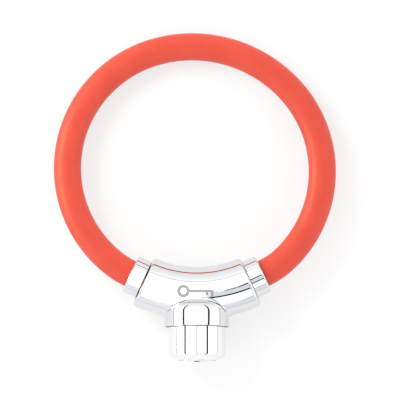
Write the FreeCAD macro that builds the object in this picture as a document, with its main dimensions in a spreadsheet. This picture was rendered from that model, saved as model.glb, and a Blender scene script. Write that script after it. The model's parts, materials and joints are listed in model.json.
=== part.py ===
"""A key-operated ring cable lock: a sleeved steel cable bent into a ring, closed by a cast lock head.

The lock is designed flat, in a plane of its own: the origin is the centre of the ring's main bend, +Y runs
away from the head, and the key cylinder points along -Y.  Every sub-part is then given the same placement,
which lays the lock on a table, with the thick head and the far side of the ring both touching it.
Sizes are millimetres and degrees.
"""

import FreeCAD, Part
import math
import os

import Sketcher
from FreeCAD import Placement, Rotation, Vector

DRIVING = {
    # cable: an orange sleeve over a plastic jacket over the steel rope, with 0.05 between the layers
    "sleeve_radius": 7.5,
    "jacket_radius": 6.0,
    "rope_radius": 4.5,
    "layer_gap": 0.05,
    # the ring's centreline: tangent arcs, clockwise from the fixed end round to the free end
    "bend_1_radius": 44.0,
    "bend_1_turn": 12.75,
    "bend_2_radius": 66.555,
    "bend_2_turn": 126.68,
    "bend_3_radius": 73.1,
    "bend_3_turn": 65.0,
    "bend_4_radius": 66.4,
    "bend_4_turn": 86.9,
    "bend_5_radius": 44.0,
    "bend_5_turn": 19.67,
    # where the cable is first cut so that it can flex, along its centreline from the fixed end
    "first_flex_at": 33.0,
    "flex_gap": 0.3,
    # head barrel: a bent bar that takes both ends of the cable, with its own axis a little further out
    "barrel_radius": 14.4,
    "barrel_offset": 1.0,
    "barrel_bend_radius": 70.0,
    "barrel_half_turn": 24.5,
    "barrel_depth": 63.3,
    "barrel_rim_fillet": 2.0,
    # boss and collar round the key cylinder, on the outward side of the barrel
    "boss_radius": 17.8,
    "boss_round": 6.0,
    "boss_top": 68.6,
    "boss_rim": 83.2,
    "boss_rim_fillet": 0.8,
    "boss_bore_radius": 13.6,
    "boss_bore_top": 76.8,
    "boss_blend": 2.6,
    "recess_radius": 16.1,
    "recess_depth": 1.9,
    # ferrules, measured along the socket from the barrel's end face
    "ferrule_radius": 10.8,
    "ferrule_reach": 8.0,
    "ferrule_seat": 1.2,
    "ferrule_cup": 5.5,
    "ferrule_fillet": 1.2,
    "seat_radius": 11.15,
    "seat_depth": 1.35,
    "spigot_radius": 7.6,
    "fixed_spigot": 17.0,
    "free_spigot": 9.0,
    "anchor_neck_radius": 6.0,
    "anchor_rope_depth": 8.0,
    "anchor_pin_at": 13.0,
    "anchor_pin_radius": 1.6,
    "anchor_pin_low": 13.2,
    "anchor_pin_high": 9.0,
    # locking stud on the free end
    "stud_radius": 4.5,
    "stud_length": 29.0,
    "stud_tip": 1.2,
    "stud_neck_radius": 2.7,
    "stud_neck_at": 25.0,
    "stud_neck_width": 3.8,
    "stud_root_radius": 3.5,
    "stud_root_top": 3.6,
    "stud_clearance": 0.3,
    # latch slide: a plate with a slanted tooth, moved by the crank on the key plug
    "latch_top": 74.65,
    "latch_thickness": 2.0,
    "latch_left": 5.5,
    "latch_right": 12.0,
    "latch_back": 3.2,
    "latch_clearance": 0.3,
    "tooth_thickness": 3.0,
    "tooth_low": 6.0,
    "tooth_high": 8.0,
    "tooth_past": 4.0,
    "crank_radius": 2.2,
    "crank_pin_radius": 1.0,
    "crank_slack": 0.15,
    # key cylinder: plug and wafers in a shell, inside a plated cover
    "shell_radius": 13.5,
    "shell_top": 76.9,
    "shell_end": 97.3,
    "cam_recess_radius": 8.6,
    "cam_recess_depth": 3.7,
    "cam_radius": 6.3,
    "cam_top": 77.1,
    "cam_thickness": 2.0,
    "plug_radius": 6.5,
    "plug_clearance": 0.06,
    "plug_top": 79.2,
    "plug_head_radius": 7.6,
    "plug_head_at": 95.9,
    "plug_face": 98.5,
    "tail_radius": 3.0,
    "tail_flat": 2.2,
    "tail_top": 77.3,
    "clip_thickness": 0.6,
    "clip_radius": 8.2,
    "clip_groove_radius": 5.7,
    "clip_at": 79.9,
    "keyway_width": 2.2,
    "keyway_half_height": 4.2,
    "keyway_end": 81.5,
    "wafer_first": 82.9,
    "wafer_pitch": 2.8,
    "wafer_thickness": 0.8,
    "wafer_half_width": 3.8,
    "wafer_travel": 1.0,
    "wafer_foot": 3.6,
    "wafer_shoulder": 4.9,
    "wafer_crown": 5.95,
    "wafer_crown_half_width": 2.0,
    "wafer_window_half_width": 1.5,
    "wafer_window_half_height": 2.4,
    "wafer_slack": 0.1,
    "wafer_slot_floor": 5.2,
    "wafer_groove": 7.4,
    "spring_coil_radius": 0.34,
    "spring_wire_radius": 0.1,
    "spring_offset": 2.7,
    # cover, dust shutter and its snap ring
    "cover_radius": 15.75,
    "cover_top": 81.6,
    "cover_end": 101.35,
    "cover_round_along": 2.4,
    "cover_round_across": 4.6,
    "cover_round_side": 2.0,
    "cover_bore_radius": 13.6,
    "cover_bore_end": 97.4,
    "shutter_pocket_radius": 11.2,
    "shutter_lip": 100.1,
    "shutter_hole_radius": 10.4,
    "shutter_radius": 10.0,
    "shutter_flange_radius": 11.12,
    "shutter_back": 99.1,
    "shutter_step": 100.0,
    "shutter_face": 101.75,
    "shutter_fillet": 0.4,
    "ring_radius": 11.15,
    "ring_bore_radius": 8.6,
    "ring_top": 98.6,
    "ring_thickness": 0.4,
    # pins
    "cylinder_pin_radius": 1.25,
    "cylinder_pin_at": 78.9,
    "cylinder_pin_out": 17.2,
    "cylinder_pin_in": 11.0,
    "pin_fit": 0.04,
    "drill_pin_radius": 1.0,
    "drill_pin_length": 12.0,
    "drill_pin_circle": 10.6,
}


class Size:
    """A length or angle that knows its value and the spreadsheet expression that it comes from."""

    def __init__(self, value, text):
        self.value = float(value)
        self.text = text

    def joined(self, other, sign, result):
        text = other.text if isinstance(other, Size) else repr(float(other))
        return Size(result, f"({self.text} {sign} {text})")

    def __add__(self, other):
        return self.joined(other, "+", self.value + float(other))

    def __sub__(self, other):
        return self.joined(other, "-", self.value - float(other))

    def __mul__(self, other):
        return self.joined(other, "*", self.value * float(other))

    def __truediv__(self, other):
        return self.joined(other, "/", self.value / float(other))

    def __radd__(self, other):
        return plain(other) + self

    def __rsub__(self, other):
        return plain(other) - self

    def __rmul__(self, other):
        return plain(other) * self

    def __neg__(self):
        return plain(0) - self

    def __float__(self):
        return self.value


def plain(number):
    return Size(number, repr(float(number)))


def make_sheet(doc):
    """Writes the driving dimensions to a spreadsheet and returns them as Size objects, by alias."""
    sheet = doc.addObject("Spreadsheet::Sheet", "Dims")
    sizes = {}
    for row, (alias, value) in enumerate(DRIVING.items(), start=1):
        sheet.set(f"A{row}", alias)
        sheet.set(f"B{row}", str(value))
        sheet.setAlias(f"B{row}", alias)
        sizes[alias] = Size(value, f"Dims.{alias}")
    doc.recompute()
    return sizes


DOC = FreeCAD.newDocument("RingCableLock")
D = make_sheet(DOC)
EPS = 1.0  # how far a cutting tool runs past the face that it opens


# ---------------------------------------------------------------- layout of the design plane

def polar(centre, radius, degrees):
    angle = math.radians(degrees)
    return Vector(centre.x + radius * math.cos(angle), centre.y + radius * math.sin(angle), 0)


HALF_TURN = D["barrel_half_turn"].value
BARREL_CENTRE = Vector(0, float(D["barrel_bend_radius"] - D["barrel_depth"]), 0)
FREE_END = polar(BARREL_CENTRE, D["barrel_bend_radius"].value, 270 + HALF_TURN)
FIXED_END = polar(BARREL_CENTRE, D["barrel_bend_radius"].value, 270 - HALF_TURN)
FREE_OUT = Vector(math.cos(math.radians(HALF_TURN)), math.sin(math.radians(HALF_TURN)), 0)
FIXED_OUT = Vector(-FREE_OUT.x, FREE_OUT.y, 0)

FIXED_START = FIXED_END + FIXED_OUT * D["ferrule_reach"].value
BEND_COUNT = 5


def cable_bends():
    """The cable's arcs, clockwise from the fixed end: (centre, radius, polar angle at the start, turn)."""
    bends = []
    here, angle = FIXED_START, 270 - HALF_TURN
    for number in range(1, BEND_COUNT + 1):
        radius, turn = D[f"bend_{number}_radius"], D[f"bend_{number}_turn"].value
        centre = polar(here, -radius.value, angle)
        bends.append((centre, radius, angle, turn))
        angle -= turn
        here = polar(centre, radius.value, angle)
    return bends, here


BENDS, FREE_STOP = cable_bends()
CABLE_LENGTH = sum(math.radians(turn) * radius.value for _, radius, _, turn in BENDS)


def across_cable(station, out=0.0):
    """The point at a distance along the cable, and out from its centreline, away from the ring's middle."""
    for centre, radius, start, turn in BENDS:
        length = math.radians(turn) * radius.value
        if station <= length:
            break
        station -= length
    return polar(centre, radius.value + out, start - math.degrees(station / radius.value))


def extreme(degrees):
    """The centreline's furthest point in a direction, such as 90 for +Y."""
    for centre, radius, start, turn in BENDS:
        if start - turn <= degrees <= start:
            return polar(centre, radius.value, degrees)
    raise ValueError("no bend faces that way")


def halved(low, high, miss):
    """Where miss(), which falls from low to high, crosses nought."""
    for _ in range(60):
        middle = (low + high) / 2
        if miss(middle) > 0:
            low = middle
        else:
            high = middle
    return (low + high) / 2


def flex_layout():
    """The three flex pivots and their distances along the cable.

    The first and last pivots, on the ring's inner edge, are mirror images about an axis through the middle
    pivot, on the outer edge.  That axis is square to the free ferrule, so when the outer two turn half as far
    as the middle one, the other way, the free end moves in a straight line along its own socket.
    """
    edge = D["sleeve_radius"].value
    across = Vector(-FREE_OUT.y, FREE_OUT.x, 0)
    first_at = D["first_flex_at"].value
    first = across_cable(first_at, -edge)
    half = CABLE_LENGTH / 2
    last_at = halved(half, CABLE_LENGTH, lambda s: (across_cable(s, -edge) - first).dot(across))
    last = across_cable(last_at, -edge)
    centre_line = (first + last) * 0.5
    middle_at = halved(first_at, last_at, lambda s: (centre_line - across_cable(s, edge)).dot(FREE_OUT))
    return [first, across_cable(middle_at, edge), last], [first_at, middle_at, last_at]


PIVOTS, CUTS = flex_layout()


def lying():
    """Lays the lock on a table: the collar's shoulder and the ring's far side touch z = 0."""
    boss, ring = D["boss_radius"].value, D["sleeve_radius"].value
    near = float(D["boss_top"] + D["boss_round"])
    far = extreme(90).y
    tilt = math.asin((boss - ring) / (near + far))
    for _ in range(20):
        tilt = math.asin((boss * math.cos(tilt) - ring) / (near + far))
    lift = boss * math.cos(tilt) - near * math.sin(tilt)
    edge = D["shutter_fillet"].value
    face = (D["shutter_face"].value - edge) * math.cos(tilt)
    front = face + (D["shutter_radius"].value - edge) * math.sin(tilt) + edge
    middle = (far * math.cos(tilt) + ring - front) / 2
    turn = Rotation(Vector(1, 0, 0), -math.degrees(tilt))
    return Placement(Vector(-(extreme(0).x + extreme(180).x) / 2, -middle, lift), turn)


LYING = lying()
OUTWARD = Rotation(Vector(1, 0, 0), 90)  # turns local Z to -Y, the way the key cylinder points


# ---------------------------------------------------------------- sketch and feature helpers

def new_body(label):
    body = DOC.addObject("PartDesign::Body", label)
    body.Label = label
    return body


def plane_of(body, role):
    return next(o for o in body.Origin.OriginFeatures if o.Role == role)


def new_sketch(body, name, plane="XY_Plane", offset=None):
    sketch = body.newObject("Sketcher::SketchObject", name)
    sketch.AttachmentSupport = [(plane_of(body, plane), "")]
    sketch.MapMode = "FlatFace"
    if offset is not None:
        sketch.AttachmentOffset = offset
    return sketch


def bind(sketch, constraint, size):
    index = sketch.addConstraint(constraint)
    sketch.setExpression(f"Constraints[{index}]", size.text)


def as_size(value):
    return value if isinstance(value, Size) else plain(value)


def pin_point(sketch, edge, vertex, x, y):
    """Ties one point of the sketch to bound coordinates."""
    bind(sketch, Sketcher.Constraint("DistanceX", -1, 1, edge, vertex, x.value), x)
    bind(sketch, Sketcher.Constraint("DistanceY", -1, 1, edge, vertex, y.value), y)


def add_outline(sketch, points):
    """A closed outline of straight lines through bound points."""
    points = [(as_size(x), as_size(y)) for x, y in points]
    places = [Vector(x.value, y.value, 0) for x, y in points]
    first = sketch.GeometryCount
    count = len(points)
    for i in range(count):
        sketch.addGeometry(Part.LineSegment(places[i], places[(i + 1) % count]), False)
    for i in range(count):
        following = first + (i + 1) % count
        sketch.addConstraint(Sketcher.Constraint("Coincident", first + i, 2, following, 1))
    for i, (x, y) in enumerate(points):
        pin_point(sketch, first + i, 1, x, y)


def add_circle(sketch, x, y, radius):
    x, y, radius = as_size(x), as_size(y), as_size(radius)
    circle = Part.Circle(Vector(x.value, y.value, 0), Vector(0, 0, 1), radius.value)
    edge = sketch.addGeometry(circle, False)
    pin_point(sketch, edge, 3, x, y)
    bind(sketch, Sketcher.Constraint("Radius", edge, radius.value), radius)


def feature(body, kind, name, sketch, **settings):
    """A sketch-based feature.  A Size is bound to the sheet and anything else is set as it is."""
    made = body.newObject(f"PartDesign::{kind}", name)
    made.Profile = sketch
    for prop, value in settings.items():
        if isinstance(value, Size):
            setattr(made, prop, value.value)
            made.setExpression(prop, value.text)
        else:
            setattr(made, prop, value)
    DOC.recompute()
    return made


def spin(body, name, points, kind="Revolution", plane="XY_Plane", offset=None, axis="V_Axis", angle=360.0):
    """Turns an outline about one of its sketch's axes, to add material or, as a Groove, to cut it."""
    sketch = new_sketch(body, f"{name}_sketch", plane, offset)
    add_outline(sketch, points)
    return feature(body, kind, name, sketch, ReferenceAxis=(sketch, [axis]), Angle=angle)


def bend(body, name, centre, arc_radius, start, turn, outer, inner=None):
    """A length of round bar or tube bent about a centre, from a polar angle, turning anticlockwise."""
    offset = Placement(Vector(centre.x, 0, -centre.y), Rotation(Vector(0, 1, 0), start))
    sketch = new_sketch(body, f"{name}_sketch", "XZ_Plane", offset)
    add_circle(sketch, arc_radius, 0, outer)
    if inner is not None:
        add_circle(sketch, arc_radius, 0, inner)
    return feature(body, "Revolution", name, sketch, ReferenceAxis=(sketch, ["V_Axis"]), Angle=turn)


def extrude(body, name, draw, kind="Pad", plane="XY_Plane", offset=None, **settings):
    """Pads or pockets what draw(sketch) draws."""
    sketch = new_sketch(body, f"{name}_sketch", plane, offset)
    draw(sketch)
    return feature(body, kind, name, sketch, **settings)


def outline_of(points):
    return lambda sketch: add_outline(sketch, points)


def circle_of(x, y, radius):
    return lambda sketch: add_circle(sketch, x, y, radius)


def box_of(left, right, low, high):
    return outline_of([(left, low), (right, low), (right, high), (left, high)])


def pattern(body, name, original, count, direction, spacing):
    """Repeats a feature along one of the body's axes."""
    made = body.newObject("PartDesign::LinearPattern", name)
    made.Originals = [original]
    made.Direction = (plane_of(body, direction), [""])
    made.Length = spacing.value * (count - 1)
    made.Occurrences = count
    DOC.recompute()
    body.Tip = made
    return made


def dress(body, kind, name, size, chosen):
    """Fillets or chamfers the edges of the body's tip that chosen() picks."""
    base = body.Tip
    edges = [f"Edge{i}" for i, edge in enumerate(base.Shape.Edges, start=1) if chosen(edge)]
    made = body.newObject(f"PartDesign::{kind}", name)
    made.Base = (base, edges)
    prop = "Radius" if kind == "Fillet" else "Size"
    setattr(made, prop, size.value)
    made.setExpression(prop, size.text)
    DOC.recompute()
    return made


def seat(body, local=None):
    """Puts a finished sub-part in the lock, and lays the lock down."""
    body.Placement = LYING if local is None else LYING.multiply(local)
    return body


def end_frame(corner, outward_degrees):
    """A frame whose +X runs out of a barrel end, along its socket's axis."""
    return Placement(corner, Rotation(Vector(0, 0, 1), outward_degrees))


FREE_FRAME = end_frame(FREE_END, HALF_TURN)
FIXED_FRAME = end_frame(FIXED_END, 180 - HALF_TURN)
BOSS_FRAME = Placement(Vector(0, 0, 0), OUTWARD)
SUBPARTS = []


def subpart(body, local=None):
    SUBPARTS.append(seat(body, local))
    return body


# ---------------------------------------------------------------- lock body

def boss_depth_is(edge, depth):
    """Whether a circular edge lies in the plane at this distance out along the key axis (design frame)."""
    box = edge.BoundBox
    return abs(box.YMin + depth) < 1e-3 and abs(box.YMax + depth) < 1e-3


def cut_along(body, name, frame, points):
    """Cuts a bore along a frame's X axis; points are (distance in from the frame's origin, radius)."""
    outline = [(-as_size(along), radius) for along, radius in points]
    return spin(body, name, outline, kind="Groove", offset=frame, axis="H_Axis")


def make_lock_body():
    body = new_body("lock_body")
    outer, top, rim = D["boss_radius"], D["boss_top"], D["boss_rim"]
    spin(body, "boss", [(0, -top), (outer, -top), (outer, -rim), (0, -rim)])
    dress(body, "Fillet", "boss_shoulder", D["boss_round"], lambda e: boss_depth_is(e, top.value))
    bend(body, "barrel", BARREL_CENTRE, D["barrel_bend_radius"] + D["barrel_offset"], 270 - HALF_TURN,
         2 * HALF_TURN, D["barrel_radius"])
    end_faces = [(FREE_END, FREE_OUT), (FIXED_END, FIXED_OUT)]

    def on_end_face(edge):
        points = [vertex.Point for vertex in edge.Vertexes] + [edge.CenterOfMass]
        return any(all(abs((p - corner).dot(out)) < 0.01 for p in points) for corner, out in end_faces)

    dress(body, "Fillet", "barrel_rims", D["barrel_rim_fillet"], on_end_face)

    def is_joint_line(edge):
        box = edge.BoundBox
        on_boss = box.YMax < -60 and box.YMin > -rim.value + 1 and box.ZLength > 5
        return on_boss and edge.Curve.TypeId not in ("Part::GeomLine", "Part::GeomCircle")

    if D["boss_blend"].value > 0:
        dress(body, "Fillet", "boss_blend", D["boss_blend"], is_joint_line)
    dress(body, "Fillet", "collar_rim", D["boss_rim_fillet"], lambda e: boss_depth_is(e, rim.value))

    bore, bore_top = D["boss_bore_radius"], D["boss_bore_top"]
    recess, recess_floor = D["recess_radius"], rim - D["recess_depth"]
    past = rim + EPS
    steps = [(0, -bore_top), (bore, -bore_top), (bore, -recess_floor), (recess, -recess_floor),
             (recess, -past), (0, -past)]
    spin(body, "cylinder_bore", steps, kind="Groove")

    seat_r, seat_in, slack = D["seat_radius"], D["seat_depth"], D["stud_clearance"]
    stud, spigot = D["stud_radius"] + slack, D["spigot_radius"] + slack
    spigot_in, stud_in = D["free_spigot"] + slack, D["stud_length"] + slack
    cut_along(body, "free_socket", FREE_FRAME, [
        (-EPS, 0), (-EPS, seat_r), (seat_in, seat_r), (seat_in, spigot), (spigot_in, spigot),
        (spigot_in, stud), (stud_in, stud), (stud_in, 0)])
    snug, fixed_in = D["spigot_radius"] + D["layer_gap"], D["fixed_spigot"] + 0.2
    cut_along(body, "fixed_socket", FIXED_FRAME, [
        (-EPS, 0), (-EPS, seat_r), (seat_in, seat_r), (seat_in, snug), (fixed_in, snug), (fixed_in, 0)])

    slack = D["latch_clearance"]
    low, high = latch_low() - latch_travel() - slack, D["tooth_high"] + slack
    plate = box_of(-(D["latch_left"] + slack), D["latch_right"] + slack,
                   -(bore_top + 0.1), -(D["latch_top"] - 0.15))
    lift = Placement(Vector(0, 0, low.value), Rotation())
    extrude(body, "latch_slot", plate, kind="Pocket", offset=lift, Length=high - low, Reversed=True)
    tooth_low = D["tooth_low"] - latch_travel() - slack
    lift = Placement(Vector(0, 0, tooth_low.value), Rotation())
    extrude(body, "tooth_slot", outline_of(tooth_outline(slack.value)), kind="Pocket", offset=lift,
            Length=high - tooth_low, Reversed=True)

    pin = D["cylinder_pin_radius"] + D["pin_fit"]
    lift = Placement(Vector(0, 0, -D["boss_radius"].value - 1), Rotation())
    extrude(body, "cylinder_pin_hole", circle_of(0, -D["cylinder_pin_at"], pin), kind="Pocket", offset=lift,
            Length=8.0, Reversed=True)
    extrude_anchor_hole(body, "anchor_pin_hole")
    return subpart(body)


def latch_travel():
    return D["crank_radius"] * math.sqrt(2)


def latch_low():
    """The lower edge of the latch plate, with the latch withdrawn."""
    return D["crank_radius"] / math.sqrt(2) - D["latch_back"]


def tooth_outline(grow=0.0):
    """The tooth, seen from above: a strip square to the stud, from inside the plate to past the neck."""
    neck = FREE_END - FREE_OUT * D["stud_neck_at"].value
    across = Vector(-FREE_OUT.y, FREE_OUT.x, 0)
    half = D["tooth_thickness"].value / 2 + grow
    inside = -(D["latch_top"].value + 0.9)
    far = D["tooth_past"].value + grow
    corners = []
    for side in (-half, half):
        edge = neck + FREE_OUT * side
        corners.append((edge, (inside - edge.y) / across.y))
    (left, left_in), (right, right_in) = corners
    points = [left + across * left_in, right + across * right_in, right + across * far, left + across * far]
    return [(p.x, p.y) for p in points]


def extrude_anchor_hole(body, name, local=False):
    """The cross hole for the anchor pin, square to the ring's plane, from below."""
    at = D["anchor_pin_at"].value
    where = Vector(-at, 0, 0) if local else FIXED_END - FIXED_OUT * at
    lift = Placement(Vector(where.x, where.y, -16.0), Rotation())
    radius = D["anchor_pin_radius"] + D["pin_fit"]
    return extrude(body, name, circle_of(0, 0, radius), kind="Pocket", offset=lift,
                   Length=D["anchor_pin_high"] + 16.2, Reversed=True)


# ---------------------------------------------------------------- cable

def cable_spans():
    """For each of the four lengths of cable: its arcs, as (centre, radius, lower polar angle, turn)."""
    gap = D["flex_gap"].value
    starts = [0.0] + [cut + gap for cut in CUTS]
    stops = [cut - gap for cut in CUTS] + [CABLE_LENGTH]
    spans = []
    for low, high in zip(starts, stops):
        arcs = []
        behind = 0.0
        for centre, radius, start, turn in BENDS:
            length = math.radians(turn) * radius.value
            begin, end = max(low - behind, 0.0), min(high - behind, length)
            if end - begin > 1e-6:
                last = start - math.degrees(end / radius.value)
                arcs.append((centre, radius, last, math.degrees((end - begin) / radius.value)))
            behind += length
        spans.append(arcs)
    return spans


def make_cable_layer(name, outer, inner, run_in):
    """Four lengths of one layer of the cable; the end ones run straight into their ferrules."""
    ends = {0: (FIXED_START, 180 - HALF_TURN), 3: (FREE_STOP, HALF_TURN)}
    for index, arcs in enumerate(cable_spans()):
        body = new_body(f"{name}_{index + 1}")
        for number, (centre, radius, low, turn) in enumerate(arcs, start=1):
            bend(body, f"{body.Label}_arc_{number}", centre, radius, low, turn, outer, inner)
        if index in ends:
            mouth, heading = ends[index]
            frame = Placement(mouth, Rotation(Vector(0, 0, 1), heading))
            low = inner if inner is not None else plain(0)
            deep = -run_in[index]
            spin(body, f"{body.Label}_end", [(0, low), (0, outer), (deep, outer), (deep, low)], offset=frame,
                 axis="H_Axis")
        subpart(body)


def make_cable():
    gap = D["layer_gap"]
    cup = D["ferrule_cup"] - 0.15
    in_cup = {0: cup, 3: cup}
    make_cable_layer("silicone_sleeve", D["sleeve_radius"], D["jacket_radius"] + gap, in_cup)
    make_cable_layer("inner_jacket", D["jacket_radius"], D["rope_radius"] + gap, in_cup)
    reach = D["ferrule_reach"]
    deep = {0: reach + D["anchor_rope_depth"], 3: reach + D["stud_root_top"] - 0.6}
    make_cable_layer("steel_cable", D["rope_radius"], None, deep)


# ---------------------------------------------------------------- ferrules, anchor and locking stud

def round_mouth(body):
    """Rounds a ferrule's outer edge, where the cable enters it."""
    reach, radius = D["ferrule_reach"].value, D["ferrule_radius"].value

    def is_mouth(edge):
        box = edge.BoundBox
        at_mouth = abs(box.XMin - reach) < 1e-3 and abs(box.XMax - reach) < 1e-3
        return at_mouth and box.YLength > 2 * radius - 0.1

    dress(body, "Fillet", "mouth", D["ferrule_fillet"], is_mouth)


def make_fixed_end():
    gap = D["layer_gap"]
    reach, seat_in, outer = D["ferrule_reach"], D["ferrule_seat"], D["ferrule_radius"]
    wall = reach - D["ferrule_cup"]
    cup, neck = D["sleeve_radius"] + gap, D["anchor_neck_radius"]
    ferrule = new_body("fixed_ferrule")
    spin(ferrule, "shell", [(-seat_in, neck + gap), (-seat_in, outer), (reach, outer), (reach, cup),
                            (wall, cup), (wall, neck + gap)], axis="H_Axis")
    round_mouth(ferrule)
    subpart(ferrule, FIXED_FRAME)

    stud = new_body("anchor_stud")
    rope, depth, length = D["rope_radius"] + gap, D["anchor_rope_depth"] + 0.1, D["fixed_spigot"]
    shoulder = seat_in + gap
    spin(stud, "turned", [(wall - 0.05, rope), (wall - 0.05, neck), (-shoulder, neck),
                          (-shoulder, D["spigot_radius"]), (-length, D["spigot_radius"]), (-length, 0),
                          (-depth, 0), (-depth, rope)], axis="H_Axis")
    dress(stud, "Chamfer", "lead_in", plain(0.8), lambda e: abs(e.BoundBox.XMax + length.value) < 1e-3)
    extrude_anchor_hole(stud, "pin_hole", local=True)
    subpart(stud, FIXED_FRAME)

    pin = new_body("anchor_pin")
    lift = Placement(Vector(-D["anchor_pin_at"].value, 0, -D["anchor_pin_low"].value), Rotation())
    extrude(pin, "pin", circle_of(0, 0, D["anchor_pin_radius"]), offset=lift,
            Length=D["anchor_pin_low"] + D["anchor_pin_high"])
    dress(pin, "Chamfer", "ends", plain(0.3), lambda e: e.Curve.TypeId == "Part::GeomCircle")
    subpart(pin, FIXED_FRAME)


def make_free_end():
    gap = D["layer_gap"]
    reach, seat_in, outer = D["ferrule_reach"], D["ferrule_seat"], D["ferrule_radius"]
    wall = reach - D["ferrule_cup"]
    cup, rope, root = D["sleeve_radius"] + gap, D["rope_radius"] + gap, D["stud_root_radius"]
    spigot, spigot_in, top = D["spigot_radius"], D["free_spigot"], D["stud_root_top"]
    ferrule = new_body("locking_ferrule")
    spin(ferrule, "turned", [(-spigot_in, root + gap), (-spigot_in, spigot), (-seat_in, spigot),
                             (-seat_in, outer), (reach, outer), (reach, cup), (wall, cup), (wall, rope),
                             (-(top - gap), rope), (-(top - gap), root + gap)], axis="H_Axis")
    round_mouth(ferrule)

    def is_spigot_tip(edge):
        box = edge.BoundBox
        return abs(box.XMax + spigot_in.value) < 1e-3 and box.YLength > 2 * spigot.value - 0.1

    dress(ferrule, "Chamfer", "lead_in", plain(0.8), is_spigot_tip)
    subpart(ferrule, FREE_FRAME)

    stud = new_body("locking_stud")
    radius, length, tip = D["stud_radius"], D["stud_length"], D["stud_tip"]
    neck, half = D["stud_neck_radius"], D["stud_neck_width"] / 2
    near, far = D["stud_neck_at"] - half, D["stud_neck_at"] + half
    base = spigot_in + gap
    spin(stud, "turned", [(-top, 0), (-top, root), (-base, root), (-base, radius), (-near, radius),
                          (-near, neck), (-far, neck), (-far, radius), (-(length - tip), radius),
                          (-length, radius - tip), (-length, 0)], axis="H_Axis")
    subpart(stud, FREE_FRAME)


# ---------------------------------------------------------------- latch and key cylinder

def make_latch():
    body = new_body("latch_bolt")
    top, low, high = D["latch_top"], latch_low(), D["tooth_high"]
    bottom = top + D["latch_thickness"]
    lift = Placement(Vector(0, 0, low.value), Rotation())
    extrude(body, "plate", box_of(-D["latch_left"], D["latch_right"], -bottom, -top), offset=lift,
            Length=high - low)
    lift = Placement(Vector(0, 0, D["tooth_low"].value), Rotation())
    extrude(body, "tooth", outline_of(tooth_outline()), offset=lift, Length=high - D["tooth_low"])
    # the crank's slot: long enough across for the pin's arc, and just clear of it along the travel
    slack, pin = D["crank_slack"], D["crank_pin_radius"]
    centre = D["crank_radius"] / math.sqrt(2)
    left, right = centre - pin - slack, D["crank_radius"] + pin + slack
    slot = box_of(left, right, centre - pin - slack, centre + pin + slack)
    face = Placement(Vector(0, 0, top.value - 1), Rotation())
    extrude(body, "crank_slot", slot, kind="Pocket", plane="XZ_Plane", offset=face,
            Length=D["latch_thickness"] + 2, Reversed=True)
    return subpart(body)


def axial(body, name, points, kind="Revolution"):
    """Turns an outline of (radius, depth along the key axis) points about the key axis."""
    return spin(body, name, points, kind=kind, plane="XZ_Plane")


def level(depth):
    return Placement(Vector(0, 0, float(depth)), Rotation())


def make_cylinder_shell():
    body = new_body("cylinder_shell")
    top, end, outer = D["shell_top"], D["shell_end"], D["shell_radius"]
    bore, slack = D["plug_radius"] + D["plug_clearance"], D["plug_clearance"]
    cam, cam_floor = D["cam_recess_radius"], top + D["cam_recess_depth"]
    head, head_top = D["plug_head_radius"] + slack, D["plug_head_at"] - 0.1
    axial(body, "turned", [(cam, top), (outer, top), (outer, end), (head, end), (head, head_top),
                           (bore, head_top), (bore, cam_floor), (cam, cam_floor)])
    first, last = D["wafer_first"] - 1.0, D["wafer_first"] + D["wafer_pitch"] * 4 + 1.0
    wide, deep = D["wafer_half_width"] + 0.35, D["wafer_groove"]
    extrude(body, "unlocked_groove", box_of(-wide, wide, 0, deep), kind="Pocket", offset=level(first),
            Length=last - first, Reversed=True)
    extrude(body, "locked_groove", box_of(0, deep, -wide, wide), kind="Pocket", offset=level(first),
            Length=last - first, Reversed=True)
    pin = D["drill_pin_radius"] + D["pin_fit"]

    def guard_holes(sketch):
        for x, y in guard_places():
            add_circle(sketch, x, y, pin)

    deep = D["drill_pin_length"] + 0.1
    extrude(body, "guard_holes", guard_holes, kind="Pocket", offset=level(end - deep), Length=deep + 1,
            Reversed=True)
    pin = D["cylinder_pin_radius"] + D["pin_fit"]
    across = Placement(Vector(0, 0, D["cylinder_pin_in"].value - 0.1), Rotation())
    extrude(body, "pin_hole", circle_of(0, D["cylinder_pin_at"], pin), kind="Pocket", plane="XZ_Plane",
            offset=across, Length=4.0, Reversed=True)
    return subpart(body, BOSS_FRAME)


def guard_places():
    circle = D["drill_pin_circle"]
    angles = [math.radians(degrees) for degrees in (55, 145, 235, 325)]
    return [(circle * math.cos(angle), circle * math.sin(angle)) for angle in angles]


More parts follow.
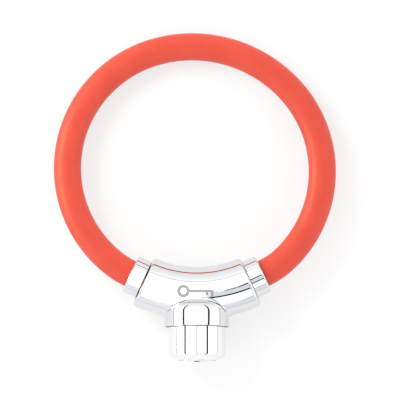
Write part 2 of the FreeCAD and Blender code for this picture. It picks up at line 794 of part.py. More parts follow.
def make_plug():
    body = new_body("key_plug")
    radius, top, face = D["plug_radius"], D["plug_top"], D["plug_face"]
    tail, tail_top = D["tail_radius"], D["tail_top"]
    groove, clip, width = D["clip_groove_radius"], D["clip_at"], D["clip_thickness"] + 0.1
    head, head_at = D["plug_head_radius"], D["plug_head_at"]
    low, high = clip - 0.05, clip - 0.05 + width
    axial(body, "turned", [(0, tail_top), (tail, tail_top), (tail, top), (radius, top), (radius, low),
                           (groove, low), (groove, high), (radius, high), (radius, head_at),
                           (head, head_at), (head, face), (0, face)])
    flat = D["tail_flat"]

    def tail_flats(sketch):
        add_outline(sketch, [(-4, flat), (4, flat), (4, 4), (-4, 4)])
        add_outline(sketch, [(-4, -4), (4, -4), (4, -flat), (-4, -flat)])

    extrude(body, "tail_flats", tail_flats, kind="Pocket", offset=level(tail_top - 1),
            Length=top - tail_top + 1, Reversed=True)
    half, high = D["keyway_width"] / 2, D["keyway_half_height"]
    end = D["keyway_end"]
    extrude(body, "keyway", box_of(-half, half, -high, high), kind="Pocket", offset=level(end),
            Length=face - end + EPS, Reversed=True)
    slack = D["wafer_slack"]
    wide = D["wafer_half_width"] + slack
    thick = D["wafer_thickness"] + 2 * slack
    slot = extrude(body, "wafer_slot", box_of(-wide, wide, -D["wafer_slot_floor"], 8), kind="Pocket",
                   offset=level(D["wafer_first"] - slack), Length=thick, Reversed=True)
    pattern(body, "wafer_slots", slot, 5, "Z_Axis", D["wafer_pitch"])
    return subpart(body, BOSS_FRAME)


def make_wafers():
    """Five brass wafers, alike but for the height of the window that the key's cuts bear on."""
    lifts = (0.5, -0.3, 0.1, -0.5, 0.3)
    wide, foot, shoulder = D["wafer_half_width"], D["wafer_foot"], D["wafer_shoulder"]
    crown, crown_wide = D["wafer_crown"], D["wafer_crown_half_width"]
    window_wide, window_high = D["wafer_window_half_width"], D["wafer_window_half_height"]
    for index, lift in enumerate(lifts):
        body = new_body(f"wafer_{index + 1}")

        def draw(sketch):
            add_outline(sketch, [(-wide, -foot), (wide, -foot), (wide, shoulder), (crown_wide, crown),
                                 (-crown_wide, crown), (-wide, shoulder)])
            add_outline(sketch, [(-window_wide, lift - window_high), (window_wide, lift - window_high),
                                 (window_wide, lift + window_high), (-window_wide, lift + window_high)])

        depth = D["wafer_first"] + D["wafer_pitch"] * index
        extrude(body, "plate", draw, offset=level(depth), Length=D["wafer_thickness"])
        subpart(body, BOSS_FRAME)


def make_wafer_springs():
    """One small coil under each wafer, on the slot's floor."""
    coil, wire = D["spring_coil_radius"].value, D["spring_wire_radius"].value
    floor = -D["wafer_slot_floor"].value
    room = D["wafer_slot_floor"].value - D["wafer_foot"].value
    height = room - 2 * wire - 0.1
    springs = []
    for index in range(5):
        depth = float(D["wafer_first"] + D["wafer_pitch"] * index + D["wafer_thickness"] / 2)
        helix = Part.makeHelix(height / 3, height, coil)
        profile = Part.Wire([Part.makeCircle(wire, Vector(coil, 0, 0), Vector(0, 1, 0))])
        spring = Part.Wire(helix.Edges).makePipeShell([profile], True, True)
        spring.Placement = Placement(Vector(D["spring_offset"].value, floor + wire + 0.05, depth),
                                     Rotation(Vector(1, 0, 0), -90))
        springs.append(spring)
    made = DOC.addObject("Part::Feature", "wafer_springs")
    made.Label = "wafer_springs"
    made.Shape = Part.makeCompound(springs)
    return subpart(made, BOSS_FRAME)


def make_cam():
    body = new_body("drive_cam")
    top, thick, radius = D["cam_top"], D["cam_thickness"], D["cam_radius"]
    gap = D["layer_gap"]
    extrude(body, "disc", circle_of(0, 0, radius), offset=level(top), Length=thick)
    hole, flat = D["tail_radius"] + gap, D["tail_flat"] + gap
    reach = math.sqrt(hole.value**2 - flat.value**2)

    def flatted_hole(sketch):
        circle = Part.Circle(Vector(0, 0, 0), Vector(0, 0, 1), hole.value)
        side = math.degrees(math.atan2(flat.value, reach))
        for start in (-side, 180 - side):
            arc = Part.ArcOfCircle(circle, math.radians(start), math.radians(start + 2 * side))
            sketch.addGeometry(arc, False)
        for sign in (1, -1):
            line = Part.LineSegment(Vector(sign * reach, sign * flat.value, 0), Vector(-sign * reach,
                                    sign * flat.value, 0))
            sketch.addGeometry(line, False)

    extrude(body, "tail_hole", flatted_hole, kind="Pocket", offset=level(D["tail_top"] - 0.1),
            Length=thick + 1, Reversed=True)
    place = D["crank_radius"] / math.sqrt(2)
    pin_top = D["latch_top"] + 0.2
    extrude(body, "crank_pin", circle_of(place, place, D["crank_pin_radius"]), offset=level(pin_top),
            Length=top - pin_top)
    return subpart(body, BOSS_FRAME)


def make_clip():
    """An open retaining clip in the plug's groove."""
    body = new_body("plug_clip")
    inner, outer = D["clip_groove_radius"] + D["layer_gap"], D["clip_radius"]
    at = D["clip_at"]

    def ring(sketch):
        add_circle(sketch, 0, 0, outer)
        add_circle(sketch, 0, 0, inner)

    extrude(body, "ring", ring, offset=level(at), Length=D["clip_thickness"])
    extrude(body, "mouth", box_of(-4.2, 4.2, -10, 0), kind="Pocket", offset=level(at - 1),
            Length=D["clip_thickness"] + 2, Reversed=True)
    return subpart(body, BOSS_FRAME)


def make_cover():
    body = new_body("cylinder_cover")
    outer, top, end = D["cover_radius"], D["cover_top"], D["cover_end"]
    side, corner = end - D["cover_round_along"], outer - D["cover_round_across"]
    bore, bore_end = D["cover_bore_radius"], D["cover_bore_end"]
    pocket, lip, hole = D["shutter_pocket_radius"], D["shutter_lip"], D["shutter_hole_radius"]
    axial(body, "drawn", [(bore, top), (outer, top), (outer, side), (corner, end), (hole, end), (hole, lip),
                          (pocket, lip), (pocket, bore_end), (bore, bore_end)])

    def circle_at(radius, depth):
        def chosen(edge):
            box = edge.BoundBox
            return abs(box.ZMin - depth) < 1e-3 and abs(box.ZMax - depth) < 1e-3 \
                and abs(box.XLength - 2 * radius) < 1e-2
        return chosen

    dress(body, "Fillet", "round_side", D["cover_round_side"], circle_at(outer.value, side.value))
    wide = corner.value
    dress(body, "Fillet", "round_end", plain(1.0), circle_at(wide, end.value))
    return subpart(body, BOSS_FRAME)


def make_shutter():
    body = new_body("dust_cover")
    flange, back, step = D["shutter_flange_radius"], D["shutter_back"], D["shutter_step"]
    disc, face = D["shutter_radius"], D["shutter_face"]
    axial(body, "turned", [(0, back), (flange, back), (flange, step), (disc, step), (disc, face), (0, face)])
    dress(body, "Fillet", "edge", D["shutter_fillet"],
          lambda e: abs(e.BoundBox.ZMin - face.value) < 1e-3 and abs(e.BoundBox.ZMax - face.value) < 1e-3)
    half, high = D["keyway_width"] / 2 + 0.4, D["keyway_half_height"] + 0.5
    extrude(body, "key_slot", box_of(-half, half, -high, high), kind="Pocket", offset=level(back - 1),
            Length=face - back + 2, Reversed=True)
    subpart(body, BOSS_FRAME)

    ring = new_body("dust_cover_ring")
    outer, inner, top = D["ring_radius"], D["ring_bore_radius"], D["ring_top"]
    bottom = top + D["ring_thickness"]
    axial(ring, "stamped", [(inner, top), (outer, top), (outer, bottom), (inner, bottom)])
    subpart(ring, BOSS_FRAME)


def make_pins():
    pin = new_body("cylinder_pin")
    low, high = D["cylinder_pin_in"], D["cylinder_pin_out"]
    extrude(pin, "pin", circle_of(0, D["cylinder_pin_at"], D["cylinder_pin_radius"]), plane="XZ_Plane",
            offset=level(low), Length=high - low)
    subpart(pin, BOSS_FRAME)

    radius, length = D["drill_pin_radius"], D["drill_pin_length"]
    shapes = []
    for x, y in guard_places():
        at = Vector(x.value, y.value, float(D["shell_end"] - length))
        shapes.append(Part.makeCylinder(radius.value, length.value, at))
    made = DOC.addObject("Part::Feature", "drill_guard_pins")
    made.Label = "drill_guard_pins"
    made.Shape = Part.makeCompound(shapes)
    subpart(made, BOSS_FRAME)


def check_and_export():
    DOC.recompute()
    for item in DOC.Objects:
        bad = [state for state in item.State if state in ("Invalid", "Error")]
        if bad:
            raise RuntimeError(f"{item.Label}: {bad}")
    os.makedirs("parts", exist_ok=True)
    for part in SUBPARTS:
        shape = part.Shape
        if shape.isNull() or not shape.isValid() or shape.Volume <= 0:
            raise RuntimeError(f"{part.Label} is not a valid solid")
        shape.exportStep(f"parts/{part.Label}.step")


make_lock_body()
make_cable()
make_fixed_end()
make_free_end()
make_latch()
make_cylinder_shell()
make_plug()
make_wafers()
make_wafer_springs()
make_cam()
make_clip()
make_cover()
make_shutter()
make_pins()
check_and_export()
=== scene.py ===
import json
import math

import bpy
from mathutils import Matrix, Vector


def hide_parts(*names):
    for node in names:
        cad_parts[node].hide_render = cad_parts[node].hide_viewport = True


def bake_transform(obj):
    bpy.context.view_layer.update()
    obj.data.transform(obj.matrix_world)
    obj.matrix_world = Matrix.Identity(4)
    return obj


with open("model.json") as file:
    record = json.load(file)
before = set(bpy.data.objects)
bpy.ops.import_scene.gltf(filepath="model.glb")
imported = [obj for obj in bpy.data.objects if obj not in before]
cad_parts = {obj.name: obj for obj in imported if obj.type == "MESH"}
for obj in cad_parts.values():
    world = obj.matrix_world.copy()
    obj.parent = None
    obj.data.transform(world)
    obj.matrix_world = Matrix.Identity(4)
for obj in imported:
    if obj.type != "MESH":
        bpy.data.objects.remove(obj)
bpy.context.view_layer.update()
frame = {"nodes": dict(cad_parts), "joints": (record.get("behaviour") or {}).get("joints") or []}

MM = 0.001
scene = bpy.context.scene
scene.view_settings.view_transform = "Standard"
scene.view_settings.look = "None"


# ------------------------------------------------------------------ camera

# Half the picture's width and the point under the camera, in millimetres. The long lens makes the view
# nearly parallel.
HALF_VIEW = 110.1
AIM = (2.80, -1.32)
LONG_LENS = 600


def make_camera():
    """Straight down over the lock, with the ring's far side at the top of the picture."""
    data = bpy.data.cameras.new("camera")
    data.lens = LONG_LENS
    data.sensor_width = 36
    camera = bpy.data.objects.new("camera", data)
    scene.collection.objects.link(camera)
    height = HALF_VIEW * MM / (data.sensor_width / 2 / data.lens)
    camera.location = (AIM[0] * MM, AIM[1] * MM, height)
    scene.camera = camera


# ------------------------------------------------------------------ shader helpers

class Nodes:
    """A short way to write node trees: each call adds its nodes and returns what they put out."""

    def __init__(self, tree):
        self.tree = tree
        tree.nodes.clear()

    def add(self, kind, inputs=(), output=0, **settings):
        node = self.tree.nodes.new(kind)
        for name, value in settings.items():
            setattr(node, name, value)
        pairs = inputs.items() if isinstance(inputs, dict) else enumerate(inputs)
        for key, value in pairs:
            self.put(node.inputs[key], value)
        return node.outputs[output] if len(node.outputs) else None

    def put(self, socket, value):
        if isinstance(value, bpy.types.NodeSocket):
            self.tree.links.new(value, socket)
        elif value is not None:
            socket.default_value = value

    def math(self, operation, *values):
        return self.add("ShaderNodeMath", values, operation=operation)

    def step(self, value, low, high, to_low=0.0, to_high=1.0):
        """Goes smoothly from to_low, where value is low or less, to to_high."""
        return self.add("ShaderNodeMapRange", [value, low, high, to_low, to_high],
                        interpolation_type="SMOOTHSTEP", clamp=True)

    def band(self, value, centre, half, soft):
        """1 within half of the centre, falling to 0 over soft."""
        off = self.math("ABSOLUTE", self.math("SUBTRACT", value, centre))
        return self.step(off, half, half + soft, 1.0, 0.0)

    def both(self, *masks):
        mask = masks[0]
        for other in masks[1:]:
            mask = self.math("MULTIPLY", mask, other)
        return mask

    def either(self, *masks):
        mask = masks[0]
        for other in masks[1:]:
            mask = self.math("MAXIMUM", mask, other)
        return mask

    def mix(self, factor, a, b):
        return self.add("ShaderNodeMix", {0: factor, 6: a, 7: b}, output=2, data_type="RGBA")

    def split(self, vector):
        node = self.tree.nodes.new("ShaderNodeSeparateXYZ")
        self.put(node.inputs[0], vector)
        return node.outputs

    def length(self, a, b):
        """The root of the sum of the two squares."""
        squares = self.math("ADD", self.math("POWER", a, 2.0), self.math("POWER", b, 2.0))
        return self.math("SQRT", squares)

    def noise(self, vector, scale, detail=2.0, rough=0.5, stretch=None):
        if stretch is not None:
            vector = self.add("ShaderNodeMapping", {"Vector": vector, "Scale": stretch})
        return self.add("ShaderNodeTexNoise", {"Vector": vector, "Scale": scale, "Detail": detail,
                                               "Roughness": rough})


def grey(value):
    return (value, value, value, 1.0)


# ------------------------------------------------------------------ studio

OVERHEAD = (1.62, 1.62, 1.62, 1)
SIDE_WALLS = (1.38, 1.38, 1.38, 1)
FAR_WALL_LOW = (1.12, 1.12, 1.09, 1)
FAR_WALL_HIGH = (1.30, 1.30, 1.29, 1)
NEAR_WALL_LEFT = (1.10, 1.10, 1.12, 1)
NEAR_WALL_RIGHT = (0.96, 0.98, 1.0, 1)
ARM = (0.94, 0.98, 1.03, 1)
SEAM = (0.02, 0.02, 0.03, 1)
SOFT_TOP = 0.8
SOFT_SIDES = 2.6

# Where the seams and the overhead arm are, as slopes away from straight up: x or y over z.
LEFT_SEAM = -1.126
RIGHT_SEAM = 0.946
FAR_SEAM = 1.22
ARM_EDGES = (-0.42, 0.0)
SEAM_HALF = 0.10


def make_world():
    """A white light tent, with an overhead arm and the thin dark seams that bright metal picks up."""
    world = bpy.data.worlds.new("studio")
    scene.world = world
    world.use_nodes = True
    n = Nodes(world.node_tree)
    x, y, z = n.split(n.add("ShaderNodeTexCoord", output="Generated"))
    up = n.math("MAXIMUM", z, 0.02)
    u, v = n.math("DIVIDE", x, up), n.math("DIVIDE", y, up)
    sideways = n.math("SUBTRACT", n.math("ABSOLUTE", x), n.math("ABSOLUTE", y))
    ends = n.step(sideways, -0.1, 0.1, 1.0, 0.0)
    far_wall = n.both(n.step(v, 1.18, 1.26), ends)
    near_wall = n.both(n.step(v, -3.0, -0.4, 1.0, 0.0), ends)
    colour = n.mix(n.step(n.math("ABSOLUTE", u), 0.95, 1.3), OVERHEAD, SIDE_WALLS)
    far_tint = n.mix(n.step(v, 1.3, 3.5), FAR_WALL_HIGH, FAR_WALL_LOW)
    colour = n.mix(far_wall, colour, far_tint)
    near_tint = n.mix(n.step(u, -0.1, 0.3), NEAR_WALL_LEFT, NEAR_WALL_RIGHT)
    colour = n.mix(near_wall, colour, near_tint)
    arm = n.both(n.step(u, 0.015, 0.05), n.step(u, 0.7, 0.9, 1.0, 0.0))
    colour = n.mix(n.both(n.band(v, sum(ARM_EDGES) / 2, 0.19, 0.02), arm), colour, ARM)
    fainter_nearby = n.step(v, -1.9, -1.5, 0.35, 1.0)
    seams = n.either(
        n.both(n.band(u, LEFT_SEAM, SEAM_HALF, 0.04), fainter_nearby),
        n.both(n.band(u, RIGHT_SEAM, SEAM_HALF, 0.04), fainter_nearby),
        n.both(n.band(v, FAR_SEAM, 0.03, 0.03), 0.7),
        n.both(n.band(v, ARM_EDGES[0], 0.05, 0.02), arm),
        n.both(n.band(v, ARM_EDGES[1], 0.04, 0.02), arm))
    horizon = n.both(n.band(z, 0.0, 0.016, 0.012), n.step(sideways, -0.1, 0.1, 0.3, 0.8))
    seams = n.either(n.both(seams, n.step(z, 0.3, 0.4)), horizon)
    colour = n.mix(seams, colour, SEAM)
    colour = n.mix(n.step(z, -0.06, -0.03, 1.0, 0.0), colour, grey(1.0))
    path = n.tree.nodes.new("ShaderNodeLightPath")
    soft = n.mix(n.step(z, 0.3, 0.95), grey(SOFT_SIDES), grey(SOFT_TOP))
    colour = n.mix(path.outputs["Is Diffuse Ray"], colour, soft)
    colour = n.mix(path.outputs["Is Camera Ray"], colour, grey(1.0))
    shade = n.add("ShaderNodeBackground", {"Color": colour, "Strength": 1.0})
    n.add("ShaderNodeOutputWorld", {"Surface": shade})


FLOOR_HALF = 0.9
FLOOR_DROP = 0.2 * MM


def make_floor():
    """A pale back-lit table top."""
    mesh = bpy.data.meshes.new("table_top")
    corners = [(-1, -1), (1, -1), (1, 1), (-1, 1)]
    mesh.from_pydata([(x * FLOOR_HALF, y * FLOOR_HALF, 0) for x, y in corners], [], [(0, 1, 2, 3)])
    floor = bpy.data.objects.new("table_top", mesh)
    floor.location.z = -FLOOR_DROP
    scene.collection.objects.link(floor)
    material = bpy.data.materials.new("table_top")
    material.use_nodes = True
    n = Nodes(material.node_tree)
    coords = n.add("ShaderNodeTexCoord", output="Object")
    tint = n.mix(n.noise(coords, 3.0), (0.27, 0.27, 0.27, 1), (0.29, 0.29, 0.29, 1))
    shade = n.add("ShaderNodeBsdfPrincipled", {
        "Base Color": tint, "Roughness": 0.6, "Specular IOR Level": 0.0,
        "Emission Color": grey(1.0), "Emission Strength": 0.60})
    n.add("ShaderNodeOutputMaterial", {"Surface": shade})
    mesh.materials.append(material)


def add_soft_box(name, where, size, energy, colour, shows_in):
    """An area light aimed at the lock, seen only in the gloss or only in the shading."""
    data = bpy.data.lights.new(name, "AREA")
    data.shape = "RECTANGLE"
    data.size, data.size_y = size
    data.energy = energy
    data.color = colour
    light = bpy.data.objects.new(name, data)
    light.location = where
    light.rotation_euler = (Vector((0, 0, 0.02)) - light.location).to_track_quat("-Z", "Y").to_euler()
    light.visible_glossy = shows_in == "gloss"
    light.visible_diffuse = shows_in == "shade"
    scene.collection.objects.link(light)


def make_lights():
    """A warm strip low on the left, for the sleeve's sheen, and a weak box that casts the shadow."""
    add_soft_box("warm_strip", (-0.75, 0.12, 0.27), (0.7, 0.33), 11.0, (1.0, 0.80, 0.40), "gloss")
    add_soft_box("shadow_box", (-0.45, 0.35, 0.55), (0.25, 0.25), 3.0, (1.0, 0.97, 0.93), "shade")


# ------------------------------------------------------------------ the ring's own plane

def joint(name):
    return next(j for j in frame["joints"] if j["name"] == name)


UP = Vector(joint("flex_top")["axis"]).normalized()
RIGHT = Vector((1, 0, 0))
AWAY = UP.cross(RIGHT)
KEY_JOINT_Y = 90
ORIGIN = Vector(joint("key_turn")["pos_m"]) + AWAY * KEY_JOINT_Y * MM


def place(x, y, z=0.0):
    """A point of the lock's flat layout, in millimetres, as it lies on the table."""
    return ORIGIN + (RIGHT * x + AWAY * y + UP * z) * MM


# Sizes and places of the lock head in its own layout, in millimetres.
KEY_AT = (-0.7, -63.0)
BARREL_CENTRE_Y = 6.7
BARREL_BEND = 71.0
BARREL_RADIUS = 14.4
FERRULE_REACH = 8.0
COLLAR_RIM = -82.8
KNOB_MIDDLE = -91.0
# Half the length of the painted reflection line along the knob.
KNOB_REFLECTION_HALF = 7.5

# The cable's centreline: its start, then each arc's radius and the angle that it turns through, clockwise.
START = Vector((-36.308, -53.68))
START_HEADING = 155.5
ARCS = [(44.0, 12.75), (66.555, 126.68), (73.1, 65.0), (66.4, 86.9), (44.0, 19.67)]


def direction(degrees):
    return Vector((math.cos(math.radians(degrees)), math.sin(math.radians(degrees))))


def route():
    """The arcs as (length, centre, radius, polar angle at the start), from the fixed end to the free end."""
    arcs = []
    here, heading = START, START_HEADING
    for radius, turn in ARCS:
        polar = heading + 90
        centre = here - radius * direction(polar)
        arcs.append((radius * math.radians(turn), centre, radius, polar))
        heading -= turn
        polar -= turn
        here = centre + radius * direction(polar)
    return arcs, here, heading


ROUTE, STOP, STOP_HEADING = route()
LENGTH = sum(arc[0] for arc in ROUTE)


def on_route(s):
    """(point, heading in degrees) at a distance along the centreline; it runs on straight past both ends."""
    if s < 0:
        return START + s * direction(START_HEADING), START_HEADING
    for length, centre, radius, polar in ROUTE:
        if s <= length:
            angle = polar - math.degrees(s / radius)
            return centre + radius * direction(angle), angle - 90
        s -= length
    return STOP + s * direction(STOP_HEADING), STOP_HEADING


def tube(name, radius, bore, s_from, s_to, round_segments=72, spacing=0.75):
    """A tube along part of the route, with its length and girth in millimetres as UVs.

    With a bore it is a closed sleeve, outside and inside; without one it is a single skin.
    """
    count = max(2, round((s_to - s_from) / spacing))
    stations = [s_from + (s_to - s_from) * i / count for i in range(count + 1)]
    skins = [(radius, stations)]
    if bore:
        skins.append((bore, stations[::-1]))
    points, rings = [], []
    for r, run in skins:
        for s in run:
            centre, heading = on_route(s)
            side = direction(heading + 90)
            ring = []
            for k in range(round_segments):
                a = 2 * math.pi * k / round_segments
                ring.append(len(points))
                flat = centre + side * r * math.cos(a)
                points.append(place(flat.x, flat.y, r * math.sin(a)))
            rings.append((ring, s))
    if bore:
        rings.append(rings[0])
    faces, uvs = [], []
    girth = 2 * math.pi * radius / round_segments
    for (low, s_low), (high, s_high) in zip(rings, rings[1:]):
        for k in range(round_segments):
            j = (k + 1) % round_segments
            faces.append((low[k], low[j], high[j], high[k]))
            uvs.append([(s_low, k * girth), (s_low, (k + 1) * girth), (s_high, (k + 1) * girth),
                        (s_high, k * girth)])
    mesh = bpy.data.meshes.new(name)
    mesh.from_pydata(points, [], faces)
    layer = mesh.uv_layers.new(name="lengthwise")
    for polygon, corners in zip(mesh.polygons, uvs):
        polygon.use_smooth = True
        for loop, uv in zip(polygon.loop_indices, corners):
            layer.data[loop].uv = uv
    mesh.update()
    piece = bpy.data.objects.new(name, mesh)
    scene.collection.objects.link(piece)
    return piece


def sharpen(piece, degrees=35):
    """Smooth shading except across edges sharper than this."""
    mesh = piece.data
    mesh.shade_smooth()
    mesh.set_sharp_from_angle(angle=math.radians(degrees))


def at(s):
    """The point of the centreline at a distance along it, as it lies on the table."""
    point, _ = on_route(s)
    return place(point.x, point.y)


# ------------------------------------------------------------------ materials

def new_material(name):
    material = bpy.data.materials.new(name)
    material.use_nodes = True
    return material, Nodes(material.node_tree)


def finish_material(n, inputs):
    shade = n.add("ShaderNodeBsdfPrincipled", inputs)
    n.add("ShaderNodeOutputMaterial", {"Surface": shade})


def silicone():
    """Orange-red silicone: satin, a little translucent, with faint moulded mottling."""
    material, n = new_material("orange_silicone")
    uv = n.add("ShaderNodeUVMap", uv_map="lengthwise")
    broad = n.noise(uv, 0.06, 3.0)
    fine = n.noise(uv, 0.9, 4.0, 0.6)
    colour = n.mix(n.step(broad, 0.35, 0.65), (0.475, 0.0475, 0.0275, 1), (0.50, 0.0535, 0.0305, 1))
    rough = n.step(n.noise(uv, 0.35, 3.0), 0.3, 0.7, 0.42, 0.5)
    height = n.math("ADD", n.math("MULTIPLY", fine, 0.4), n.math("MULTIPLY", broad, 0.6))
    bump = n.add("ShaderNodeBump", {"Strength": 0.06, "Distance": 0.0004, "Height": height})
    finish_material(n, {"Base Color": colour, "Roughness": rough, "Normal": bump, "IOR": 1.42,
                        "Specular IOR Level": 0.3,
                        "Subsurface Weight": 0.12, "Subsurface Radius": (1.0, 0.25, 0.12),
                        "Subsurface Scale": 0.0015, "Sheen Weight": 0.06, "Sheen Roughness": 0.4})
    return material


CHROME = (0.74, 0.75, 0.775)
BRIGHT_CHROME = (0.88, 0.88, 0.89)
ETCHED = (0.34, 0.34, 0.345, 1)
# Painted reflection: the dark blue-grey painted along the hollow round the boss.
PAINTED_CREASE_REFLECTION = (0.10, 0.11, 0.135, 1)
# Painted shade and reflection: the near-black painted round the barrel's ends and the collar's rim.
PAINTED_RIM_SHADE = (0.02, 0.02, 0.025, 1)
# Painted reflection: the grey painted in a line along the top of the knob.
PAINTED_KNOB_REFLECTION = (0.25, 0.25, 0.25, 1)


def chrome(name, wave=0.2, tint=CHROME, etched_and_shaded=False, with_knob_reflection=False):
    """Bright plate: a mirror with slight waves and a haze of fine wiping marks.

    The lock body carries the etched key, plus painted shade and reflection: dark lines painted round the
    barrel's ends, the collar's rim and the hollow at the boss; the knob has a painted reflection line along
    its top.
    """
    material, n = new_material(name)
    coords = n.add("ShaderNodeTexCoord", output="Object")
    haze = n.noise(coords, 420.0, 4.0, 0.6, stretch=(1.0, 6.0, 1.0))
    rough = n.step(haze, 0.35, 0.8, 0.025, 0.06)
    swell = n.noise(coords, 70.0, 2.0)
    bump = n.add("ShaderNodeBump", {"Strength": wave, "Distance": 0.0003, "Height": swell})
    colour = n.mix(n.step(haze, 0.3, 0.7), (*tint, 1), (*(c * 0.975 for c in tint), 1))
    inputs = {"Base Color": colour, "Metallic": 1.0, "Roughness": rough, "Normal": bump}
    if etched_and_shaded:
        key, painted_rims = key_mark(n, coords), rim_shade_mask(n, coords)
        colour = n.mix(key, colour, ETCHED)
        # painted reflection in the hollow round the boss
        colour = n.mix(crease_reflection_mask(n, coords), colour, PAINTED_CREASE_REFLECTION)
        # painted shade and reflection round the barrel's ends and the collar's rim
        inputs["Base Color"] = n.mix(painted_rims, colour, PAINTED_RIM_SHADE)
        inputs["Roughness"] = n.math("MAXIMUM", rough, n.math("MULTIPLY", key, 0.55))
    if with_knob_reflection:
        # painted reflection line along the knob's top
        inputs["Base Color"] = n.mix(knob_reflection_mask(n, coords), colour, PAINTED_KNOB_REFLECTION)
    finish_material(n, inputs)
    return material


def key_mark(n, coords):
    """A plain etched key, a ring, a shaft and two teeth, on the top of the barrel; sizes in millimetres."""
    centre = place(*KEY_AT)
    spread = n.split(n.add("ShaderNodeVectorMath", [coords, tuple(centre)], operation="SUBTRACT"))
    x = n.math("DIVIDE", spread[0], MM)
    y = n.math("DIVIDE", spread[1], MM)
    soft = 0.12
    bow = n.band(n.length(n.math("ADD", x, 6.6), y), 2.6, 0.7, soft)
    shaft = n.both(n.band(x, 2.9, 6.9, soft), n.band(y, 0.0, 0.65, soft))
    teeth = n.either(n.both(n.band(x, 9.0, 0.75, soft), n.band(y, -1.5, 1.6, soft)),
                     n.both(n.band(x, 6.3, 0.7, soft), n.band(y, -1.1, 1.2, soft)))
    return n.both(n.either(bow, shaft, teeth), n.step(spread[2], 0.0, 2 * MM))


def along(n, coords, start, way):
    """How far each point is from start along a direction, in millimetres."""
    spread = n.add("ShaderNodeVectorMath", [coords, tuple(start)], operation="SUBTRACT")
    node = n.tree.nodes.new("ShaderNodeVectorMath")
    node.operation = "DOT_PRODUCT"
    n.put(node.inputs[0], spread)
    n.put(node.inputs[1], tuple(way / MM))
    return node.outputs["Value"]


def crease_reflection_mask(n, coords):
    """Painted reflection: a darker line painted in the hollow where the boss grows out of the barrel, in
    place of the dark reflection there.
    """
    x, y, z = (along(n, coords, place(0, BARREL_CENTRE_Y), way) for way in (RIGHT, AWAY, UP))
    from_bend = n.math("SUBTRACT", n.length(x, y), BARREL_BEND)
    from_centreline = n.length(from_bend, z)
    aside = n.math("ABSOLUTE", x)
    strength = n.both(n.step(aside, 2.0, 8.0, 0.3, 0.85), n.step(aside, 14.5, 17.0, 1.0, 0.0))
    return n.both(n.band(from_centreline, BARREL_RADIUS + 0.55, 0.1, 0.2), strength)


def knob_reflection_mask(n, coords):
    """Painted reflection: a thin darker line along the knob's highest side, short of both its ends."""
    across, inward, above = (along(n, coords, place(0, KNOB_MIDDLE), way) for way in (RIGHT, AWAY, UP))
    ends = n.band(inward, 0.0, KNOB_REFLECTION_HALF, 1.0)
    return n.both(n.band(across, 0.0, 0.26, 0.12), n.step(above, 9.0, 10.0), ends, 0.8)


def rim_shade_mask(n, coords):
    """Painted shade and reflection: a dark line round each end of the barrel, wider on the fixed side, and
    round the collar's rim.
    """
    masks = []
    ends = [(START, START_HEADING, 1.0, 0.1), (STOP, STOP_HEADING + 180, 0.15, 0.25)]
    for point, heading, widest, narrow in ends:
        way = direction(heading)
        end = point - way * FERRULE_REACH
        outward = place(way.x, way.y) - place(0, 0)
        depth = along(n, coords, place(end.x, end.y), outward.normalized())
        height = along(n, coords, place(end.x, end.y), UP)
        reach = n.step(height, 6.0, 13.5, narrow, narrow + widest)
        masks.append(n.step(n.math("ADD", depth, reach), -0.12, 0.12))
    collar = along(n, coords, place(0, COLLAR_RIM), -AWAY)
    masks.append(n.step(collar, -0.02, 0.18))
    return n.either(*masks)


def turned(name, tint, low, high, axis_stretch=(1.0, 1.0, 1.0)):
    """Bare turned metal: fine tool marks and patches of duller surface."""
    material, n = new_material(name)
    coords = n.add("ShaderNodeTexCoord", output="Object")
    marks = n.noise(coords, 900.0, 3.0, 0.6, stretch=axis_stretch)
    patches = n.noise(coords, 120.0, 3.0)
    rough = n.step(n.math("ADD", marks, n.math("MULTIPLY", patches, 0.4)), 0.4, 1.0, low, high)
    dark = tuple(c * 0.8 for c in tint)
    colour = n.mix(n.step(patches, 0.3, 0.7), (*tint, 1), (*dark, 1))
    bump = n.add("ShaderNodeBump", {"Strength": 0.15, "Distance": 0.0001, "Height": marks})
    finish_material(n, {"Base Color": colour, "Metallic": 1.0, "Roughness": rough, "Normal": bump})
    return material


def strand(name):
    """Laid steel strands, drawn along the cable's length."""
    material, n = new_material(name)
    uv = n.add("ShaderNodeUVMap", uv_map="lengthwise")
    lay = n.add("ShaderNodeMapping", {"Vector": uv, "Rotation": (0, 0, 0.3)})
    wave = n.add("ShaderNodeTexWave", {"Vector": lay, "Scale": 0.35, "Distortion": 0.4}, output="Fac",
                 bands_direction="Y")
    colour = n.mix(wave, (0.2, 0.2, 0.21, 1), (0.6, 0.6, 0.61, 1))
    bump = n.add("ShaderNodeBump", {"Strength": 0.8, "Distance": 0.0005, "Height": wave})
    finish_material(n, {"Base Color": colour, "Metallic": 1.0, "Roughness": 0.35, "Normal": bump})
    return material


def black_plastic(name):
    """Extruded black plastic, with faint drawn lines along it."""
    material, n = new_material(name)
    uv = n.add("ShaderNodeUVMap", uv_map="lengthwise")
    lines = n.noise(uv, 1.5, 3.0, stretch=(0.1, 1.0, 1.0))
    colour = n.mix(lines, (0.012, 0.012, 0.014, 1), (0.03, 0.03, 0.032, 1))
    bump = n.add("ShaderNodeBump", {"Strength": 0.2, "Distance": 0.0002, "Height": lines})
    finish_material(n, {"Base Color": colour, "Roughness": 0.45, "Normal": bump})
    return material


def dress_nodes(material, names):
    for name in names:
        mesh = frame["nodes"][name].data
        mesh.materials.clear()
        mesh.materials.append(material)


# ------------------------------------------------------------------ pieces

def flex_at():
    """How far along the route each flex joint is."""
    found = []
    for name in ("flex_left", "flex_top", "flex_right"):
        pos = Vector(joint(name)["pos_m"])
        stations = [i * 0.25 for i in range(int(LENGTH / 0.25))]
        found.append(min(stations, key=lambda s: (at(s) - pos).length))
    return found


# How far each layer runs on past the route's ends, into the ferrules.
RUN_IN = 5.35


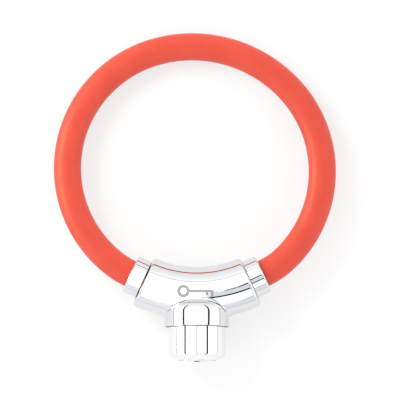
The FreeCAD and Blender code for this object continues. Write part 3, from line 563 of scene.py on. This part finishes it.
def make_cable(sleeve, jacket, rope):
    """Each layer in three pieces, that meet half way between the joints."""
    left, top, right = flex_at()
    meet_1, meet_2 = (left + top) / 2, (top + right) / 2
    layers = [
        ("silicone_sleeve", 7.5, 6.05, sleeve, "orange_sleeve"),
        ("inner_jacket", 6.0, 4.55, jacket, "jacket"),
        ("steel_cable", 4.5, None, rope, "steel_rope"),
    ]
    # Each span: where it starts and stops, the bodies that it joins, where its bend starts and stops,
    # and the solids that it stands for.
    spans = [
        ("a", None, meet_1, "lock_body", "cable_left", 2.0, left + 44, (1,)),
        ("b", meet_1, meet_2, "cable_left", "cable_right", top - 56, top + 56, (2, 3)),
        ("c", meet_2, None, "cable_right", "free_end", right - 50, right + 54, (4,)),
    ]
    for name, radius, bore, material, finish in layers:
        for tag, s_from, s_to, first, second, begin, end, nodes in spans:
            low = -RUN_IN if s_from is None else s_from
            high = LENGTH + RUN_IN if s_to is None else s_to
            piece = tube(f"{name}_{tag}", radius, bore, low, high)
            sharpen(piece)
            piece.data.materials.append(material)
            at(begin)
            at(end)
            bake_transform(piece)
            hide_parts(*(f"{name}_{i}" for i in nodes))


def make_materials():
    dress_nodes(chrome("chrome_body", 0.25, etched_and_shaded=True), ["lock_body"])
    dress_nodes(chrome("chrome_ferrule", 0.08), ["fixed_ferrule", "locking_ferrule"])
    dress_nodes(chrome("chrome_cover", 0.08, BRIGHT_CHROME, with_knob_reflection=True), ["cylinder_cover"])
    dress_nodes(chrome("chrome_shutter", 0.08), ["dust_cover"])
    dress_nodes(turned("turned_steel", (0.55, 0.55, 0.56), 0.2, 0.4, (1.0, 0.2, 1.0)),
                ["locking_stud", "anchor_stud", "latch_bolt", "drive_cam"])
    dress_nodes(turned("brass", (0.78, 0.57, 0.25), 0.25, 0.45), ["cylinder_shell", "key_plug"])
    dress_nodes(turned("stamped_brass", (0.80, 0.60, 0.28), 0.2, 0.35), [f"wafer_{i}" for i in range(1, 6)])
    dress_nodes(turned("spring_steel", (0.38, 0.38, 0.40), 0.2, 0.35),
                ["wafer_springs", "plug_clip", "dust_cover_ring"])
    dress_nodes(turned("hardened_pins", (0.25, 0.25, 0.27), 0.25, 0.4),
                ["anchor_pin", "cylinder_pin", "drill_guard_pins"])


make_camera()
make_world()
make_floor()
make_lights()
make_materials()
make_cable(silicone(), black_plastic("black_jacket"), strand("steel_strands"))
